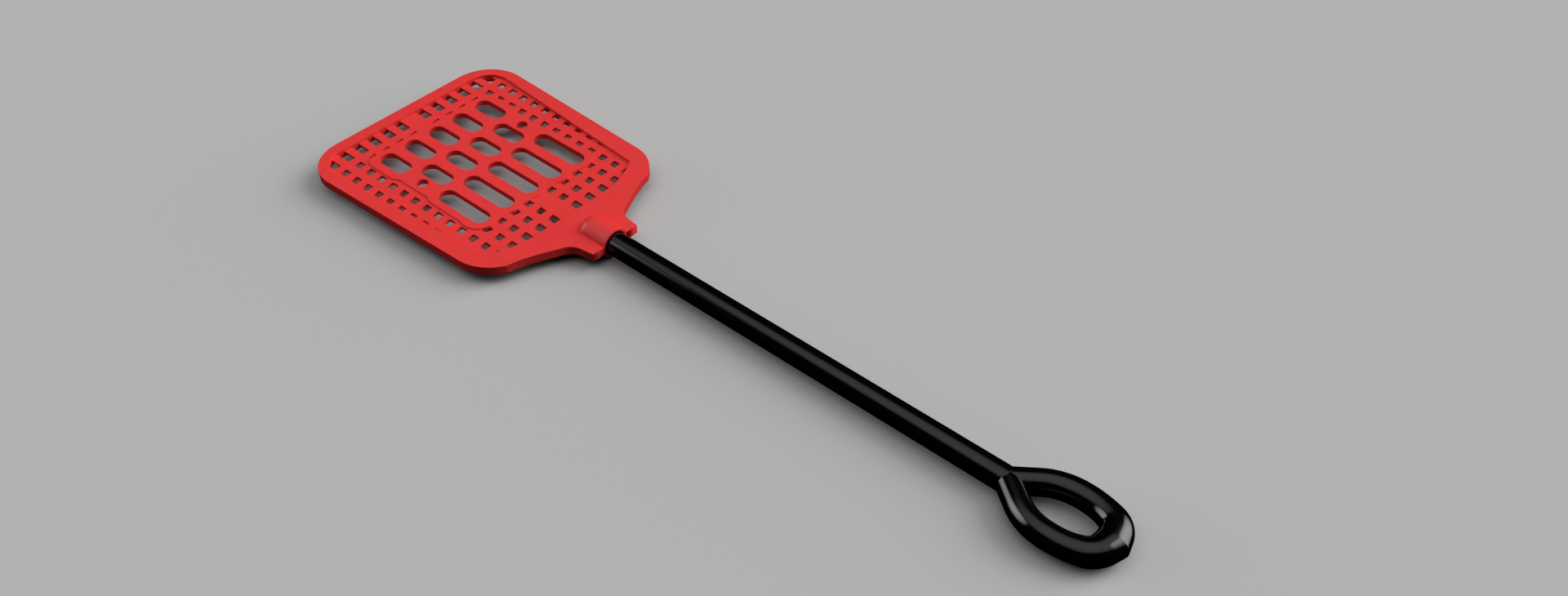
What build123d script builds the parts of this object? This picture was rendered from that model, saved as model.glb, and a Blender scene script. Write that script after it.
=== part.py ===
"""Fly swatter: a square meshed paddle pushed onto a round rod that ends in a hanging loop.

Millimetres. The swatter lies flat: +X runs along the rod from the paddle to the loop, +Z is up.
The origin is on the surface that it lies on, under the middle of its length and width.
"""
import os
from build123d import *

# ---- driving dimensions -------------------------------------------------------------------
OVERALL_LENGTH = 406.0         # far edge of the paddle to the tip of the loop
HEAD_LENGTH = 148.5            # far edge of the paddle to the end of its tab

PLATE_THICKNESS = 4.2          # rim, neck and tab
FAR_HALF_WIDTH = 58.0          # the paddle's sides at the far edge, before the corner round
FAR_CORNER_RADIUS = 20.0
NEAR_CORNER = (120.1, 52.9)    # where the sides turn in, from the far edge and the centreline
NEAR_CORNER_RADIUS = 21.3
FLANK_START = (126.1, 42.2)    # faint corner where the round meets the concave flank
FLANK_BEND = (127.6, 35.1)
FLANK_BEND_RADIUS = 60.0
NECK = (137.4, 14.6)           # where the flank meets the tab
NECK_RADIUS = 8.0
TAB_HALF_WIDTH = 13.15

SOFT_EDGE = 0.4                # radius left on a corner that looks sharp

RIM_WIDTH_FAR = 6.0            # far edge to the mesh
WINDOW_FAR_HALF_WIDTH = 52.5
WINDOW_FAR_RADIUS = 12.0
WINDOW_CORNER = (112.9, 43.9)  # where the window's straight side stops
WINDOW_END = 120.4             # where the solid neck begins
WINDOW_END_CORNER = (WINDOW_END, 32.8)
WINDOW_END_RADIUS = 42.0
EDGE_GRIP = 1.2                # how deep each edge of the mesh sits in its groove

MESH_THICKNESS = 1.5
MESH_PITCH = 8.0
MESH_HOLE = 3.9                # side of one square hole
MESH_COLUMNS = 14
MESH_ROWS_PER_SIDE = 6
FIRST_COLUMN = 12.0            # centre of the first column from the far edge
FIRST_ROW = 6.75               # centre of the first row from the centreline
SMALLEST_HOLE_AREA = 0.8       # slivers under this are left solid

PANEL_THICKNESS = 2.7
PANEL_MIDDLE_Y = 1.0
PANEL_FAR = 20.0               # the panel's far edge from the paddle's far edge
PANEL_MARGIN = 4.2             # from the end slots to the panel's sides
SLOT_WIDTH = 8.6
SLOT_SPACING = 14.2
WEB = 2.7                      # between one row of slots and the next
SHORT_SLOT = 18.4
LONG_SLOT = 31.0
END_HOLE_RADIUS = 2.8          # round holes that fill the ends of the staggered row
END_HOLE_SHIFT = 1.5           # outward, from the slots' spacing
PANEL_INSETS = (0.0, 2.0, 0.6)  # how much the panel draws in at each side of each row
PANEL_SWELL = 1.0              # bulge round the near end of each long slot
CONTOUR_RADIUS = 5.0           # rounding of the panel's wavy outline

SOCKET_RADIUS = 7.1
SOCKET_LENGTH = 18.8
SOCKET_END_ROUND = 6.0
SOCKET_END_WALL = 3.6
MOUTH_RELIEF_RADIUS = 5.95     # shallow wider step in the bore at its mouth
MOUTH_RELIEF_DEPTH = 1.2

ROD_RADIUS = 5.5
ROD_CLEARANCE = 0.05           # radial, in the socket's bore
ROD_END_GAP = 0.2              # rod end to the bottom of the bore
ROD_END_CHAMFER = 0.6
SPIGOT_RADIUS = 3.0
SPIGOT_LENGTH = 14.0

LOOP_SECTION_RADIUS = 5.35     # of the two branches
LOOP_TIP_HEIGHT_RADIUS = 6.0   # the section swells at the tip, more across than in height
LOOP_TIP_WIDTH_RADIUS = 6.9
LOOP_SWELL_START = 0.6         # fraction of the branch's length
LOOP_ROOT = 352.0              # the rod's end, where the loop begins
LOOP_FORK = 354.4              # where the two branches leave the axis
LOOP_HALF_WIDTH = 12.1         # of the centreline
LOOP_SHOULDER = 370.4          # corner of the centreline after the fork
LOOP_BACK = 386.5              # corner where it starts to narrow again
LOOP_TURN = (397.0, 8.2)       # corner where it turns in to the tip
LOOP_TIP = 399.07              # where the two branches meet again
LOOP_RADII = [26.0, 33.0, 8.8]  # rounding of those three corners
LOOP_OVERRUN = 3.0             # each branch is drawn past the centreline, then cut on it
LOOP_ROOT_OVERLAP = 2.0        # how far the root runs on into the fork

AXIS_HEIGHT = SOCKET_RADIUS    # rod axis and plate mid-plane above the surface
FAR_EDGE = -OVERALL_LENGTH / 2
ON_AXIS = 0.001                # a half outline that ends closer to the centreline is closed already
CUTTER = 200.0                 # size of the blocks that trim the loop, larger than the loop


def placed(shape):
    """Moves a shape from lengths along the swatter and heights about its mid-plane to the part's frame."""
    return Pos(FAR_EDGE, 0, AXIS_HEIGHT) * shape


def mirrored_face(half_edge):
    """Closes a half outline, drawn on +Y from the centreline to its far end, with its mirror image."""
    other = half_edge.mirror(Plane.XZ)
    edges = half_edge.edges() + other.edges()
    if (half_edge @ 1).Y > ON_AXIS:
        edges += Line(half_edge @ 1, other @ 1).edges()
    return make_face(edges)


def slab(face, thickness):
    """A flat plate of the face's outline, centred on the mid-plane."""
    return extrude(face, amount=thickness / 2, both=True)


def head_outline():
    """Square paddle with round corners, drawn in by concave flanks to a straight tab."""
    half = FilletPolyline(
        (0, 0),
        (0, FAR_HALF_WIDTH),
        NEAR_CORNER,
        FLANK_START,
        FLANK_BEND,
        NECK,
        (HEAD_LENGTH, TAB_HALF_WIDTH),
        radius=[FAR_CORNER_RADIUS, NEAR_CORNER_RADIUS, SOFT_EDGE, FLANK_BEND_RADIUS, NECK_RADIUS],
    )
    return mirrored_face(half)


def window_outline():
    """The opening inside the rim, which the mesh fills."""
    half = FilletPolyline(
        (RIM_WIDTH_FAR, 0),
        (RIM_WIDTH_FAR, WINDOW_FAR_HALF_WIDTH),
        WINDOW_CORNER,
        WINDOW_END_CORNER,
        (WINDOW_END, 0),
        radius=[WINDOW_FAR_RADIUS, SOFT_EDGE, WINDOW_END_RADIUS],
    )
    return mirrored_face(half)


def slot_rows():
    """Each row of panel slots: where it starts, how long its slots are, and their Y positions."""
    full = [PANEL_MIDDLE_Y + SLOT_SPACING * k for k in (-2, -1, 0, 1, 2)]
    staggered = [PANEL_MIDDLE_Y + SLOT_SPACING * k for k in (-1.5, -0.5, 0.5, 1.5)]
    first = PANEL_FAR + WEB
    second = first + SHORT_SLOT + WEB
    third = second + SHORT_SLOT + WEB
    return [(first, SHORT_SLOT, full), (second, SHORT_SLOT, staggered), (third, LONG_SLOT, full)]


def panel_slots():
    """Plain round-ended slots in three rows, with a round hole at each end of the staggered row."""
    slots = Sketch()
    for start, length, places in slot_rows():
        for y in places:
            slots += Pos(start + length / 2, y) * SlotOverall(length, SLOT_WIDTH)
    start, length, _ = slot_rows()[1]
    for side in (-1, 1):
        y = PANEL_MIDDLE_Y + side * (SLOT_SPACING * 2 + END_HOLE_SHIFT)
        slots += Pos(start + length / 2, y) * Circle(END_HOLE_RADIUS)
    return slots


def panel_outline():
    """The raised panel's edge, which swells round each row and round the ends of the long slots."""
    half_width = SLOT_SPACING * 2 + SLOT_WIDTH / 2 + PANEL_MARGIN
    outline = Sketch()
    for (start, length, _), inset in zip(slot_rows(), PANEL_INSETS):
        width = 2 * (half_width - inset)
        body = Rectangle(length + 2 * WEB, width)
        body = fillet(body.vertices(), CONTOUR_RADIUS)
        outline += Pos(start + length / 2, PANEL_MIDDLE_Y) * body
    start, length, places = slot_rows()[2]
    for y in places:
        outline += Pos(start + length + WEB + PANEL_SWELL - SLOT_WIDTH, y) * Circle(SLOT_WIDTH)
    grown = offset(outline, CONTOUR_RADIUS, kind=Kind.ARC)
    return offset(grown, -CONTOUR_RADIUS, kind=Kind.ARC)


def mesh_holes():
    """Square holes on a square pitch, stopped by the rim and by the panel.

    The first and last columns run on to the rim, and a solid rib is left along the centreline.
    """
    holes = Sketch()
    half = MESH_HOLE / 2
    for column in range(MESH_COLUMNS):
        centre = FIRST_COLUMN + MESH_PITCH * column
        low = RIM_WIDTH_FAR if column == 0 else centre - half
        high = WINDOW_END if column == MESH_COLUMNS - 1 else centre + half
        for row in range(MESH_ROWS_PER_SIDE):
            for side in (-1, 1):
                y = side * (FIRST_ROW + MESH_PITCH * row)
                holes += Pos((low + high) / 2, y) * Rectangle(high - low, MESH_HOLE)
    open_area = window_outline() - panel_outline()
    clipped = [face for face in (holes & open_area).faces() if face.area > SMALLEST_HOLE_AREA]
    return Sketch(clipped)


def socket_blank():
    """The sleeve's outside: a cylinder along X whose inner end is rounded over."""
    start = HEAD_LENGTH - SOCKET_LENGTH
    blank = Pos(start, 0, 0) * Rot(0, 90, 0) * Cylinder(
        SOCKET_RADIUS, SOCKET_LENGTH, align=(Align.CENTER, Align.CENTER, Align.MIN)
    )
    inner_edge = blank.edges().filter_by(GeomType.CIRCLE).sort_by(Axis.X)[0]
    return fillet(inner_edge, SOCKET_END_ROUND)


def rod_along_x(start, end, radius):
    """A plain cylinder on the rod's axis."""
    return Pos(start, 0, 0) * Rot(0, 90, 0) * Cylinder(
        radius, end - start, align=(Align.CENTER, Align.CENTER, Align.MIN)
    )


def make_head_frame():
    """Rim, neck and tab in one piece, with a groove round the window and a seat for the socket."""
    frame = slab(head_outline(), PLATE_THICKNESS)
    frame -= slab(window_outline(), PLATE_THICKNESS)
    frame -= slab(offset(window_outline(), EDGE_GRIP), MESH_THICKNESS)
    return frame - socket_blank()


def make_mesh_panel():
    """Thin punched sheet held in the rim's groove, open in the middle for the raised panel."""
    sheet = offset(window_outline(), EDGE_GRIP)
    sheet -= offset(panel_outline(), -EDGE_GRIP)
    sheet -= mesh_holes()
    return slab(sheet, MESH_THICKNESS)


def make_centre_panel():
    """Raised slotted panel that grips the mesh's inner edge in a groove."""
    outline = panel_outline()
    panel = slab(outline, PANEL_THICKNESS)
    panel -= slab(outline - offset(outline, -EDGE_GRIP), MESH_THICKNESS)
    return panel - slab(panel_slots(), PANEL_THICKNESS)


def make_socket():
    """Blind sleeve through the neck that the rod pushes into, with a wider step at its mouth."""
    bore_start = HEAD_LENGTH - SOCKET_LENGTH + SOCKET_END_WALL
    bore = rod_along_x(bore_start, HEAD_LENGTH, ROD_RADIUS + ROD_CLEARANCE)
    relief = rod_along_x(HEAD_LENGTH - MOUTH_RELIEF_DEPTH, HEAD_LENGTH, MOUTH_RELIEF_RADIUS)
    return socket_blank() - bore - relief


def make_handle_rod():
    """Straight round rod, chamfered where it enters the socket and bored for the loop's spigot."""
    start = HEAD_LENGTH - SOCKET_LENGTH + SOCKET_END_WALL + ROD_END_GAP
    rod = rod_along_x(start, LOOP_ROOT, ROD_RADIUS)
    end_edge = rod.edges().filter_by(GeomType.CIRCLE).sort_by(Axis.X)[0]
    rod = chamfer(end_edge, ROD_END_CHAMFER)
    return rod - rod_along_x(LOOP_ROOT - SPIGOT_LENGTH, LOOP_ROOT, SPIGOT_RADIUS)


def make_hang_loop():
    """Egg-shaped loop of round section: two mirrored branches, a root and a spigot into the rod.

    The branches meet the rod at a crease, and each other at a slight seam at the tip, where the
    section is thickest.
    """
    turn_x, turn_y = LOOP_TURN
    beyond = (LOOP_TIP + (LOOP_TIP - turn_x) / turn_y * LOOP_OVERRUN, -LOOP_OVERRUN)
    path = FilletPolyline(
        (LOOP_FORK, 0),
        (LOOP_SHOULDER, LOOP_HALF_WIDTH),
        (LOOP_BACK, LOOP_HALF_WIDTH),
        LOOP_TURN,
        beyond,
        radius=LOOP_RADII,
    )
    shapes_along = [
        (0.0, Circle(LOOP_SECTION_RADIUS)),
        (LOOP_SWELL_START / 2, Circle(LOOP_SECTION_RADIUS)),
        (LOOP_SWELL_START, Circle(LOOP_SECTION_RADIUS)),
        (1.0, Ellipse(LOOP_TIP_HEIGHT_RADIUS, LOOP_TIP_WIDTH_RADIUS)),
    ]
    sections = [
        Plane(origin=path @ place, x_dir=(0, 0, 1), z_dir=path % place) * shape
        for place, shape in shapes_along
    ]
    branch = sweep(sections, path=path, multisection=True)
    block = (CUTTER, CUTTER, CUTTER)
    own_side = Pos(LOOP_FORK, 0, 0) * Box(*block, align=(Align.CENTER, Align.MIN, Align.CENTER))
    behind_root = Pos(LOOP_ROOT, 0, 0) * Box(*block, align=(Align.MAX, Align.CENTER, Align.CENTER))
    branch = branch & own_side
    loop = branch + branch.mirror(Plane.XZ)
    loop += rod_along_x(LOOP_ROOT, LOOP_FORK + LOOP_ROOT_OVERLAP, ROD_RADIUS)
    loop -= behind_root
    return loop + rod_along_x(LOOP_ROOT - SPIGOT_LENGTH, LOOP_ROOT, SPIGOT_RADIUS)


PARTS = {
    "head_frame": make_head_frame,
    "mesh_panel": make_mesh_panel,
    "centre_panel": make_centre_panel,
    "socket": make_socket,
    "handle_rod": make_handle_rod,
    "hang_loop": make_hang_loop,
}

os.makedirs("parts", exist_ok=True)
for name, make in PARTS.items():
    export_step(placed(make()), f"parts/{name}.step")
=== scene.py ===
"""Fly swatter: refined pieces, materials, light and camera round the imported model."""
import math

import bmesh
import bpy
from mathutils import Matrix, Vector
from mathutils.geometry import delaunay_2d_cdt


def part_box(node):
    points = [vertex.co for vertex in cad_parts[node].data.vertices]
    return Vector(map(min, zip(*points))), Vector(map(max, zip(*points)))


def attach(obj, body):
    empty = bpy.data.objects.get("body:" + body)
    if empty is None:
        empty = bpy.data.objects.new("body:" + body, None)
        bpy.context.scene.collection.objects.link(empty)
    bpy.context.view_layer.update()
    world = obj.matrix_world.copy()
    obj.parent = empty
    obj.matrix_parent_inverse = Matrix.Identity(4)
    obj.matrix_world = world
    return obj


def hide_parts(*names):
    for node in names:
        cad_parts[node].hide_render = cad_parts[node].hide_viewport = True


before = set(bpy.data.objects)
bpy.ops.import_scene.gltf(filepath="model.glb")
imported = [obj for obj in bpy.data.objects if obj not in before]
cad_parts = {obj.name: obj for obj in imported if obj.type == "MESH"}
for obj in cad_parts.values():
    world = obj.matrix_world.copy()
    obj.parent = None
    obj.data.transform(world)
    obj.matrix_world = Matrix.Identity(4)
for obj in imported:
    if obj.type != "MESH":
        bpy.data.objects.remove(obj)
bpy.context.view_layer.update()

MM = 0.001

# ---- where the CAD pieces are -------------------------------------------------------------
FRAME_LOW, FRAME_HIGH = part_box("head_frame")
MESH_LOW, MESH_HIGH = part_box("mesh_panel")
PANEL_LOW, PANEL_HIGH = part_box("centre_panel")
SOCKET_LOW, SOCKET_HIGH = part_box("socket")
ROD_LOW, ROD_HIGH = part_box("handle_rod")
AXIS_Z = (SOCKET_LOW.z + SOCKET_HIGH.z) / 2
SOCKET_RADIUS = (SOCKET_HIGH.z - SOCKET_LOW.z) / 2
ROD_RADIUS = (ROD_HIGH.z - ROD_LOW.z) / 2

# ---- fine shape ---------------------------------------------------------------------------
RIM_ROUND = 0.06 * MM          # rounding of each kind of plate's edges
PANEL_ROUND = 0.05 * MM
MESH_ROUND = 0.05 * MM
ROUND_STEPS = 3
RIM_WEAR = 0.35 * MM           # width of the rubbed band along an edge
PANEL_WEAR = 0.35 * MM
MESH_WEAR = 0.25 * MM
PROUD = 0.02 * MM              # keeps a wall clear of the mesh's walls in the same plane
SAME = 0.002 * MM              # closer points are one point
ON_PLANE = 0.000002 * MM       # a point this near the plane of a cut is on it
CROSSING = 1e-9                # tolerance of the triangulation, in metres
FACE_WEIGHT = 50               # how strongly normals follow the larger faces

TURNED_SEGMENTS = 128
GUARD = 0.1 * MM               # a ring this far from a bend keeps the shading of a straight part true
SOCKET_DOME = 6.0 * MM
SOCKET_LIP = 0.1 * MM
ROD_CLEARANCE = 0.05 * MM
ROD_END_GAP = 0.2 * MM
MOUTH_RELIEF_RADIUS = 5.95 * MM
MOUTH_RELIEF_DEPTH = 1.2 * MM
ROD_LIP = 0.6 * MM
ROD_ROOT_OVERLAP = 2.8 * MM    # how far the rod's round section runs on into the fork

LOOP_CORNERS = [               # of the centreline, from the rod's end and the axis
    (2.4 * MM, 0.0),
    (18.4 * MM, 12.1 * MM),
    (34.5 * MM, 12.1 * MM),
    (45.0 * MM, 8.2 * MM),
    (46.91 * MM, 0.0),
]
LOOP_RADII = (26.0 * MM, 33.0 * MM, 8.8 * MM)
LOOP_RADIUS = 5.35 * MM
LOOP_TIP_WIDTH = 6.9 * MM
LOOP_TIP_HEIGHT = 6.0 * MM
LOOP_SWELL_START = 0.6
LOOP_ROWS = 160
LOOP_SEGMENTS = 72
ARC_STEPS = 24
DOME_STEPS = 20
LIP_STEPS = 4
ROD_LIP_STEPS = 5
TIP_OVERRUN = 0.4              # share of the last leg that is drawn past the axis, then cut on it
SHARPEST_MITRE = 0.6           # keeps an inset corner from running far along its bisector
TURNED_CREASE = math.radians(40)
LOOP_CREASE = math.radians(25)

# ---- material detail, in features per metre ------------------------------------------------
CLOUDS = 38.0
GLOSS_PATCHES = 95.0
WEAR_PATCHES = 170.0
GRAIN = 1500.0
SPECKS = 2400.0
GRAIN_DEPTH = 0.02 * MM
MOST_WEAR = 0.5
PLASTIC_IOR = 1.5
MIDDLE_OF_NOISE = (0.3, 0.7)   # the values that noise takes nearly everywhere

# ---- studio --------------------------------------------------------------------------------
CAMERA_PLACE = (0.32728, -0.32703, 0.42554)
CAMERA_TILT = 47.833           # degrees up from straight down
CAMERA_TURN = 41.051           # degrees from looking along +Y
CAMERA_LENS = 34.355
CAMERA_SENSOR = 36.0
CAMERA_CLIP = 0.01
FLOOR_REACH = 6.0
FLOOR_GREY = 0.4665
BACKDROP_GREY = 0.445
UP = (0, 0, 1)
BARELY_AHEAD = 0.0001          # keeps directions beside or behind a softbox off its plane
OVERHEAD_ON_MATT = 1.35        # strength of each light where it isn't seen in a reflection
KEY_ON_MATT = 0.83
RIM_ON_MATT = 0.29


# ---- outlines -----------------------------------------------------------------------------
def area(loop):
    """Signed area inside a closed outline, positive when it runs anticlockwise."""
    return sum(a.x * b.y - b.x * a.y for a, b in zip(loop, loop[1:] + loop[:1])) / 2


def top_outlines(node):
    """The closed outlines of a CAD plate's top face, largest first."""
    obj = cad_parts[node]
    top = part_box(node)[1].z
    points, uses = {}, {}
    for face in obj.data.polygons:
        corners = [obj.matrix_world @ obj.data.vertices[i].co for i in face.vertices]
        if any(abs(c.z - top) > SAME for c in corners):
            continue
        keys = [(round(c.x / SAME), round(c.y / SAME)) for c in corners]
        points.update(zip(keys, (c.xy for c in corners)))
        for a, b in zip(keys, keys[1:] + keys[:1]):
            if a != b:
                pair = (min(a, b), max(a, b))
                uses[pair] = uses.get(pair, 0) + 1
    links = {}
    for (a, b), count in sorted(uses.items()):
        if count == 1:
            links.setdefault(a, []).append(b)
            links.setdefault(b, []).append(a)
    loops = []
    left = set(links)
    while left:
        here = min(left)
        loop = []
        while here is not None:
            left.discard(here)
            loop.append(points[here])
            here = next((k for k in links[here] if k in left), None)
        loops.append(loop)
    loops.sort(key=lambda loop: -abs(area(loop)))
    return loops


def facing(loop, solid_inside):
    """The loop turned so that material is on its left."""
    return loop if (area(loop) > 0) == solid_inside else loop[::-1]


def shifted(loop, distance):
    """The loop moved towards the material on its left."""
    moved = []
    for before, here, after in zip(loop[-1:] + loop[:-1], loop, loop[1:] + loop[:1]):
        a, b = (here - before).normalized(), (after - here).normalized()
        across_a, across_b = Vector((-a.y, a.x)), Vector((-b.y, b.x))
        out = (across_a + across_b).normalized()
        moved.append(here + out * distance / max(out.dot(across_a), SHARPEST_MITRE))
    return moved


def in_material(p, points, edges):
    """Whether a point is inside the outline and outside every hole."""
    inside = False
    for i, j in edges:
        a, b = points[i], points[j]
        if (a.y > p.y) != (b.y > p.y) and p.x < a.x + (p.y - a.y) / (b.y - a.y) * (b.x - a.x):
            inside = not inside
    return inside


# ---- meshes -------------------------------------------------------------------------------
def plate(loops, low, high, rounding, worn_band):
    """Points, faces and edge wear of a flat plate whose edges are rounded.

    The loops have material on their left. Wear is 1 on an edge and 0 past the worn band.
    """
    rings = [(worn_band, low, 0.0)]
    for k in range(ROUND_STEPS + 1):
        turn = math.pi / 2 * k / ROUND_STEPS
        rings.append((rounding * (1 - math.sin(turn)), low + rounding * (1 - math.cos(turn)), 1.0))
    rings += [(inset, low + high - z, wear) for inset, z, wear in reversed(rings)]
    points, faces, wear = [], [], []
    bottom, top, edges = [], [], []
    for loop in loops:
        n, base, start = len(loop), len(points), len(top)
        for inset, z, worn in rings:
            points += [(p.x, p.y, z) for p in shifted(loop, inset)]
            wear += [worn] * n
        for i in range(n):
            j = (i + 1) % n
            edges.append((start + i, start + j))
            for row in range(base, base + n * (len(rings) - 1), n):
                faces.append((row + i, row + j, row + n + j, row + n + i))
        bottom += range(base, base + n)
        top += range(len(points) - n, len(points))
    flat = [Vector(points[i][:2]) for i in top]
    made = delaunay_2d_cdt(flat, edges, [], 1, CROSSING)
    origins = made[3]
    for triangle in made[2]:
        corners = [origins[i][0] for i in triangle]
        middle = sum((flat[i] for i in corners), Vector((0, 0))) / 3
        if in_material(middle, flat, edges):
            faces.append(tuple(top[i] for i in corners))
            faces.append(tuple(bottom[i] for i in reversed(corners)))
    return points, faces, wear


def turned(profile):
    """Points and faces of a body turned about the rod's axis. The profile holds (x, radius)."""
    points, faces, rows = [], [], []
    n = TURNED_SEGMENTS
    for x, radius in profile:
        count = n if radius > 0 else 1
        rows.append([len(points) + i % count for i in range(n)])
        for i in range(count):
            a = 2 * math.pi * i / n
            points.append((x, radius * math.cos(a), AXIS_Z + radius * math.sin(a)))
    for a, b in zip(rows, rows[1:]):
        for i in range(n):
            j = (i + 1) % n
            corners = dict.fromkeys((a[i], a[j], b[j], b[i]))
            faces.append(tuple(corners))
    return points, faces


def arc(x, radius, bend, start, end, steps):
    """Profile points round a bend, its angles in degrees from +X towards larger radius."""
    angles = (math.radians(start + (end - start) * k / steps) for k in range(steps + 1))
    return [(x + bend * math.cos(a), radius + bend * math.sin(a)) for a in angles]


def finished(name, mesh, wear, material, body, node):
    """Makes a piece of a mesh: smooth shading, edge wear, material and body, and hides its CAD node.
    """
    mesh.name = name
    mesh.polygons.foreach_set("use_smooth", [True] * len(mesh.polygons))
    layer = mesh.attributes.new("wear", "FLOAT", "POINT")
    layer.data.foreach_set("value", wear)
    mesh.materials.append(material)
    piece = bpy.data.objects.new(name, mesh)
    bpy.context.scene.collection.objects.link(piece)
    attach(piece, body)
    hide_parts(node)
    return piece


def finished_plate(name, loops, low, high, rounding, worn_band, material, node):
    """A plate of the head, whose flat faces stay flat beside its narrow rounded edges."""
    points, faces, wear = plate(loops, low, high, rounding, worn_band)
    mesh = bpy.data.meshes.new(name)
    mesh.from_pydata(points, [], faces)
    piece = finished(name, mesh, wear, material, "head", node)
    modifier = piece.modifiers.new("flat_faces", "WEIGHTED_NORMAL")
    modifier.mode = "FACE_AREA"
    modifier.weight = FACE_WEIGHT


# ---- the head -----------------------------------------------------------------------------
def make_head(material):
    """Rim, mesh and slotted panel, each cut to the outlines of its CAD node."""
    outline, window = top_outlines("head_frame")
    loops = [facing(outline, True), shifted(facing(window, False), -PROUD)]
    finished_plate(
        "paddle_rim", loops, FRAME_LOW.z, FRAME_HIGH.z, RIM_ROUND, RIM_WEAR, material, "head_frame"
    )
    outline, *holes = top_outlines("mesh_panel")
    loops = [facing(outline, True)] + [facing(hole, False) for hole in holes]
    finished_plate(
        "paddle_mesh", loops, MESH_LOW.z, MESH_HIGH.z, MESH_ROUND, MESH_WEAR, material, "mesh_panel"
    )
    outline, *slots = top_outlines("centre_panel")
    loops = [shifted(facing(outline, True), -PROUD)] + [facing(slot, False) for slot in slots]
    finished_plate(
        "slotted_panel", loops, PANEL_LOW.z, PANEL_HIGH.z, PANEL_ROUND, PANEL_WEAR, material,
        "centre_panel",
    )


def make_socket(material):
    """Sleeve with a rounded inner end, a blind bore and a wider step at its mouth."""
    mouth = SOCKET_HIGH.x
    step = mouth - MOUTH_RELIEF_DEPTH
    bore = ROD_RADIUS + ROD_CLEARANCE
    bottom = ROD_LOW.x - ROD_END_GAP
    profile = [(SOCKET_LOW.x, 0.0)]
    dome = SOCKET_LOW.x + SOCKET_DOME
    profile += arc(dome, SOCKET_RADIUS - SOCKET_DOME, SOCKET_DOME, 180, 90, DOME_STEPS)
    profile.append((dome + GUARD, SOCKET_RADIUS))
    profile.append((mouth - SOCKET_LIP - GUARD, SOCKET_RADIUS))
    profile += arc(mouth - SOCKET_LIP, SOCKET_RADIUS - SOCKET_LIP, SOCKET_LIP, 90, 0, LIP_STEPS)
    profile += arc(mouth - SOCKET_LIP, MOUTH_RELIEF_RADIUS + SOCKET_LIP, SOCKET_LIP, 0, -90, LIP_STEPS)
    profile += [(step, MOUTH_RELIEF_RADIUS), (step, bore), (bottom, bore), (bottom, 0.0)]
    points, faces = turned(profile)
    mesh = bpy.data.meshes.new("socket")
    mesh.from_pydata(points, [], faces)
    mesh.set_sharp_from_angle(angle=TURNED_CREASE)
    finished("socket_sleeve", mesh, [0.0] * len(points), material, "head", "socket")


# ---- the handle ---------------------------------------------------------------------------
def make_rod(material):
    """Straight round rod with a rounded edge where it enters the socket."""
    profile = [(ROD_LOW.x, 0.0)]
    profile += arc(ROD_LOW.x + ROD_LIP, ROD_RADIUS - ROD_LIP, ROD_LIP, 180, 90, ROD_LIP_STEPS)
    profile += [(ROD_LOW.x + ROD_LIP + GUARD, ROD_RADIUS), (ROD_HIGH.x, ROD_RADIUS), (ROD_HIGH.x, 0.0)]
    points, faces = turned(profile)
    mesh = bpy.data.meshes.new("rod")
    mesh.from_pydata(points, [], faces)
    mesh.set_sharp_from_angle(angle=TURNED_CREASE)
    finished("rod", mesh, [0.0] * len(points), material, "handle", "handle_rod")


def loop_centreline():
    """Half the loop's centreline, from the fork past the axis at the tip, in even steps."""
    corners = [Vector((ROD_HIGH.x + x, y)) for x, y in LOOP_CORNERS]
    corners[-1] += (corners[-1] - corners[-2]) * TIP_OVERRUN
    line = [corners[0]]
    for a, b, c, radius in zip(corners, corners[1:], corners[2:], LOOP_RADII):
        back, on = (a - b).normalized(), (c - b).normalized()
        half = back.angle(on) / 2
        middle = b + (back + on).normalized() * (radius / math.sin(half))
        start = b + back * (radius / math.tan(half)) - middle
        end = b + on * (radius / math.tan(half)) - middle
        first = math.atan2(start.y, start.x)
        sweep = -start.angle_signed(end)
        for k in range(ARC_STEPS + 1):
            a_k = first + sweep * k / ARC_STEPS
            line.append(middle + radius * Vector((math.cos(a_k), math.sin(a_k))))
    line.append(corners[-1])
    steps = [(b - a).length for a, b in zip(line, line[1:])]
    even, at, passed = [], 0, 0.0
    for k in range(LOOP_ROWS + 1):
        target = sum(steps) * k / LOOP_ROWS
        while at < len(steps) - 1 and passed + steps[at] < target:
            passed += steps[at]
            at += 1
        even.append(line[at].lerp(line[at + 1], min((target - passed) / steps[at], 1.0)))
    return even


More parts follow.
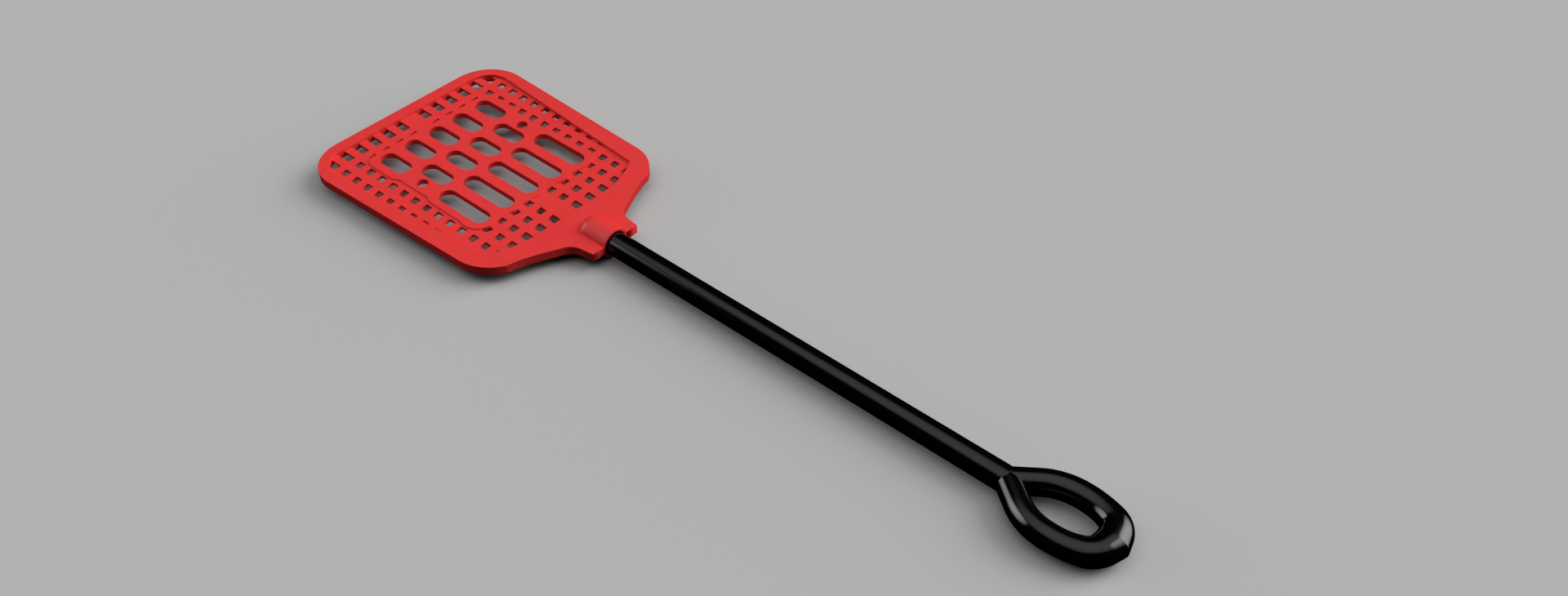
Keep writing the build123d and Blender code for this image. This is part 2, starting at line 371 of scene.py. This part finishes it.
def make_loop(material):
    """Two mirrored branches of round section that meet at the fork and at the tip."""
    line = loop_centreline()
    bm = bmesh.new()
    rows = []
    for k, here in enumerate(line):
        ahead = (line[min(k + 1, LOOP_ROWS)] - line[max(k - 1, 0)]).normalized()
        side = Vector((-ahead.y, ahead.x))
        swell = max((k / LOOP_ROWS - LOOP_SWELL_START) / (1 - LOOP_SWELL_START), 0)
        swell *= swell * (3 - 2 * swell)
        wide = LOOP_RADIUS + (LOOP_TIP_WIDTH - LOOP_RADIUS) * swell
        high = LOOP_RADIUS + (LOOP_TIP_HEIGHT - LOOP_RADIUS) * swell
        row = []
        for i in range(LOOP_SEGMENTS):
            a = 2 * math.pi * i / LOOP_SEGMENTS
            p = here + side * (wide * math.cos(a))
            row.append(bm.verts.new((p.x, p.y, AXIS_Z + high * math.sin(a))))
        rows.append(row)
    for a, b in zip(rows, rows[1:]):
        for i in range(LOOP_SEGMENTS):
            j = (i + 1) % LOOP_SEGMENTS
            bm.faces.new((a[i], b[i], b[j], a[j]))
    bm.faces.new(rows[0])
    bmesh.ops.bisect_plane(
        bm, geom=bm.verts[:] + bm.edges[:] + bm.faces[:], dist=ON_PLANE,
        plane_co=(0, 0, 0), plane_no=(0, 1, 0), clear_inner=True,
    )
    copy = bmesh.ops.duplicate(bm, geom=bm.verts[:] + bm.edges[:] + bm.faces[:])["geom"]
    for v in (g for g in copy if isinstance(g, bmesh.types.BMVert)):
        v.co.y = -v.co.y
    bmesh.ops.remove_doubles(bm, verts=bm.verts[:], dist=SAME)
    end = ROD_HIGH.x
    points, faces = turned([(end, 0), (end, ROD_RADIUS), (end + ROD_ROOT_OVERLAP, ROD_RADIUS),
                            (end + ROD_ROOT_OVERLAP, 0)])
    root = [bm.verts.new(p) for p in points]
    for face in faces:
        bm.faces.new([root[i] for i in face])
    bmesh.ops.recalc_face_normals(bm, faces=bm.faces[:])
    mesh = bpy.data.meshes.new("loop")
    bm.to_mesh(mesh)
    bm.free()
    mesh.set_sharp_from_angle(angle=LOOP_CREASE)
    wear = [0.0] * len(mesh.vertices)
    finished("hanging_loop", mesh, wear, material, "handle", "hang_loop")


# ---- materials ----------------------------------------------------------------------------
def shader_node(tree, kind, inputs=None, **settings):
    """A shader node. An input given as another node's output is linked, and any other is set."""
    made = tree.nodes.new(kind)
    for name, value in settings.items():
        setattr(made, name, value)
    for key, value in (inputs or {}).items():
        if isinstance(value, bpy.types.NodeSocket):
            tree.links.new(value, made.inputs[key])
        else:
            made.inputs[key].default_value = value
    return made


def moulded(name, base, dull, rubbed, speckle, roughness, swing, grain):
    """Moulded plastic: mottled and speckled colour, uneven gloss, fine grain and rubbed edges."""
    material = bpy.data.materials.new(name)
    material.use_nodes = True
    tree = material.node_tree
    link = tree.links.new
    shader = tree.nodes["Principled BSDF"]
    where = shader_node(tree, "ShaderNodeTexCoord").outputs["Object"]

    def noise(scale, detail):
        settings = {"Vector": where, "Scale": scale, "Detail": detail}
        return shader_node(tree, "ShaderNodeTexNoise", settings).outputs["Fac"]

    def between(value, low, high):
        least, most = MIDDLE_OF_NOISE
        spread = {"Value": value, "From Min": least, "From Max": most, "To Min": low, "To Max": high}
        return shader_node(tree, "ShaderNodeMapRange", spread).outputs["Result"]

    def mix(share, a, b, blend="MIX"):
        made = shader_node(
            tree, "ShaderNodeMix", {0: share, 6: a, 7: b}, data_type="RGBA", blend_type=blend
        )
        return made.outputs[2]

    cloudy = mix(between(noise(CLOUDS, 3.0), 0.0, 1.0), dull, base)
    dots = between(noise(SPECKS, 1.0), 1.0 - speckle, 1.0 + speckle)
    specks = shader_node(tree, "ShaderNodeCombineColor", {"Red": dots, "Green": dots, "Blue": dots})
    speckled = mix(1.0, cloudy, specks.outputs["Color"], "MULTIPLY")
    worn = shader_node(tree, "ShaderNodeAttribute", attribute_name="wear").outputs["Fac"]
    patchy = between(noise(WEAR_PATCHES, 4.0), 0.0, MOST_WEAR)
    share = shader_node(tree, "ShaderNodeMath", {0: worn, 1: patchy}, operation="MULTIPLY").outputs[0]
    link(mix(share, speckled, rubbed), shader.inputs["Base Color"])
    uneven = between(noise(GLOSS_PATCHES, 5.0), roughness - swing, roughness + swing)
    link(uneven, shader.inputs["Roughness"])
    relief = {"Height": noise(GRAIN, 2.0), "Strength": grain, "Distance": GRAIN_DEPTH}
    bump = shader_node(tree, "ShaderNodeBump", relief)
    link(bump.outputs["Normal"], shader.inputs["Normal"])
    shader.inputs["IOR"].default_value = PLASTIC_IOR
    return material


# ---- studio -------------------------------------------------------------------------------
def make_camera():
    """Looks down on the swatter from beyond its loop end."""
    data = bpy.data.cameras.new("camera")
    data.sensor_width = CAMERA_SENSOR
    data.sensor_fit = "HORIZONTAL"
    data.lens = CAMERA_LENS
    data.clip_start = CAMERA_CLIP
    camera = bpy.data.objects.new("camera", data)
    camera.location = CAMERA_PLACE
    camera.rotation_euler = (math.radians(CAMERA_TILT), 0.0, math.radians(CAMERA_TURN))
    bpy.context.scene.collection.objects.link(camera)
    bpy.context.scene.camera = camera


def make_floor():
    """A plain pale floor, left out of reflections and of the light that bounces."""
    reach = FLOOR_REACH
    mesh = bpy.data.meshes.new("floor")
    corners = [(-reach, -reach, 0), (reach, -reach, 0), (reach, reach, 0), (-reach, reach, 0)]
    mesh.from_pydata(corners, [], [(0, 1, 2, 3)])
    material = bpy.data.materials.new("floor")
    material.use_nodes = True
    shader = material.node_tree.nodes["Principled BSDF"]
    shader.inputs["Base Color"].default_value = (FLOOR_GREY, FLOOR_GREY, FLOOR_GREY, 1)
    shader.inputs["Roughness"].default_value = 1.0
    shader.inputs["Specular IOR Level"].default_value = 0.0
    mesh.materials.append(material)
    floor = bpy.data.objects.new("floor", mesh)
    floor.visible_glossy = False
    floor.visible_diffuse = False
    bpy.context.scene.collection.objects.link(floor)


def compass(azimuth):
    """Level unit direction, its azimuth in degrees from +X towards +Y."""
    a = math.radians(azimuth)
    return (math.cos(a), math.sin(a), 0.0)


def softbox(tree, where, ahead, across, up, middle, half, edge, radiance, falloff):
    """Radiance of a rectangular softbox in a direction.

    The box lies on the plane one unit away along ahead. Its middle, half sizes and soft edges are
    measured on that plane, and falloff is how far it dims from its middle to each pair of sides.
    """
    def maths(operation, a, b=0.0):
        return shader_node(tree, "ShaderNodeMath", {0: a, 1: b}, operation=operation).outputs[0]

    def along(axis):
        dot = shader_node(tree, "ShaderNodeVectorMath", {0: where, 1: axis}, operation="DOT_PRODUCT")
        return dot.outputs["Value"]

    distance = maths("MAXIMUM", along(ahead), BARELY_AHEAD)
    bright, fade = radiance, 1.0
    for axis, centre, reach, soft, dim in zip((across, up), middle, half, edge, falloff):
        offset = maths("ABSOLUTE", maths("SUBTRACT", maths("DIVIDE", along(axis), distance), centre))
        span = {"Value": offset, "From Min": reach + soft / 2, "From Max": reach - soft / 2}
        inside = shader_node(tree, "ShaderNodeMapRange", span, interpolation_type="SMOOTHSTEP")
        bright = maths("MULTIPLY", inside.outputs["Result"], bright)
        share = maths("DIVIDE", offset, reach)
        fade = maths("SUBTRACT", fade, maths("MULTIPLY", maths("MULTIPLY", share, share), dim))
    return maths("MULTIPLY", bright, maths("MAXIMUM", fade, 0.0))


def make_lights():
    """A dark studio: a softbox overhead, a tall key at the far right and a rim light at the left."""
    world = bpy.data.worlds.new("studio")
    bpy.context.scene.world = world
    world.use_nodes = True
    tree = world.node_tree
    link = tree.links.new
    where = shader_node(tree, "ShaderNodeTexCoord").outputs["Generated"]
    rays = shader_node(tree, "ShaderNodeLightPath").outputs
    overhead = softbox(
        tree, where, UP, compass(-36.5), compass(53.5), middle=(0.03, 0.0), half=(0.725, 1.0),
        edge=(0.44, 0.8), radiance=0.95, falloff=(0.53, 0.22),
    )
    key = softbox(
        tree, where, compass(49), compass(139), UP, middle=(0.15, 0.8), half=(0.8, 0.95),
        edge=(0.2, 0.25), radiance=6.0, falloff=(1.1, 0.7),
    )
    rim = softbox(
        tree, where, compass(-154), compass(-64), UP, middle=(0.03, 0.42), half=(0.43, 0.51),
        edge=(0.15, 0.15), radiance=5.0, falloff=(0.81, 0.78),
    )

    def on_matt(light, strength):
        """The light with another strength wherever it isn't seen in a reflection."""
        span = {"Value": rays["Is Glossy Ray"], "To Min": strength}
        share = shader_node(tree, "ShaderNodeMapRange", span).outputs["Result"]
        made = shader_node(tree, "ShaderNodeMath", {0: light, 1: share}, operation="MULTIPLY")
        return made.outputs[0]

    def both(a, b):
        return shader_node(tree, "ShaderNodeMath", {0: a, 1: b}, operation="ADD").outputs[0]

    total = both(on_matt(overhead, OVERHEAD_ON_MATT), on_matt(key, KEY_ON_MATT))
    total = both(total, on_matt(rim, RIM_ON_MATT))
    light = tree.nodes["Background"]
    light.inputs["Color"].default_value = (1, 1, 1, 1)
    link(total, light.inputs["Strength"])
    backdrop = shader_node(tree, "ShaderNodeBackground", {"Color": (BACKDROP_GREY,) * 3 + (1,)})
    views = {0: rays["Is Camera Ray"], 1: light.outputs[0], 2: backdrop.outputs[0]}
    seen = shader_node(tree, "ShaderNodeMixShader", views)
    link(seen.outputs[0], tree.nodes["World Output"].inputs["Surface"])
    bpy.context.scene.view_settings.view_transform = "Standard"


red = moulded(
    "red_moulded_plastic", base=(0.790, 0.035, 0.035, 1), dull=(0.760, 0.033, 0.033, 1),
    rubbed=(0.80, 0.045, 0.043, 1), speckle=0.14, roughness=0.45, swing=0.05, grain=0.15,
)
black = moulded(
    "black_gloss_plastic", base=(0.0014, 0.0014, 0.0015, 1), dull=(0.0010, 0.0010, 0.0011, 1),
    rubbed=(0.01, 0.01, 0.01, 1), speckle=0.1, roughness=0.11, swing=0.02, grain=0.01,
)
make_camera()
make_head(red)
make_socket(red)
make_rod(black)
make_loop(black)
make_floor()
make_lights()
